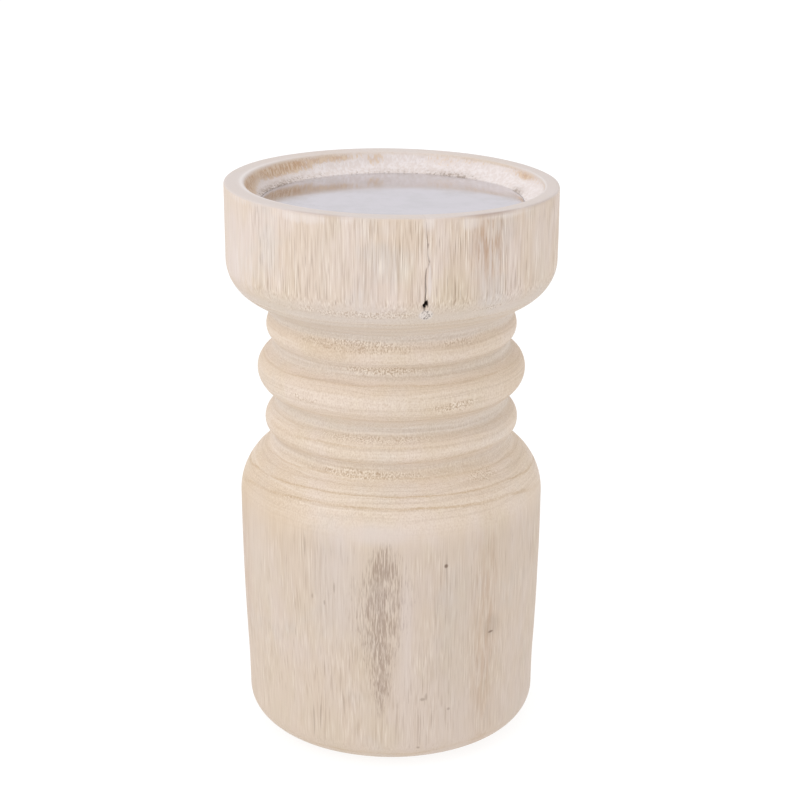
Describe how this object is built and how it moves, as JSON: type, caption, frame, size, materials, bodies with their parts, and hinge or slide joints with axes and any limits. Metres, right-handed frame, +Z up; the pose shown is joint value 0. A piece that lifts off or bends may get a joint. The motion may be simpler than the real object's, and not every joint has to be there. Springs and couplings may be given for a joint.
{
  "type": "candlestick",
  "caption": "Turned wooden pillar candle holder: shallow cup with a lift-out metal plate, a beaded neck and a heavy round-shouldered base.",
  "frame": {"origin": "on the floor, under the middle of the base", "axes": "+Z up along the axis of the turning, through the middle of the cup"},
  "size_m": [0.15, 0.15, 0.26],
  "materials": {
    "whitewashed_wood": "matte",
    "polished_plate": "polished",
    "felt": "matte"
  },
  "bodies": {
    "holder": {"wood_body": "whitewashed_wood", "felt_pad_1": "felt", "felt_pad_2": "felt", "felt_pad_3": "felt", "felt_pad_4": "felt"},
    "plate": {"candle_plate": "polished_plate"}
  },
  "joints": [
    {"name": "plate_lift", "type": "slide", "parent": "holder", "child": "plate", "axis": [0, 0, 1], "range_m": [0, 0.03]}
  ]
}
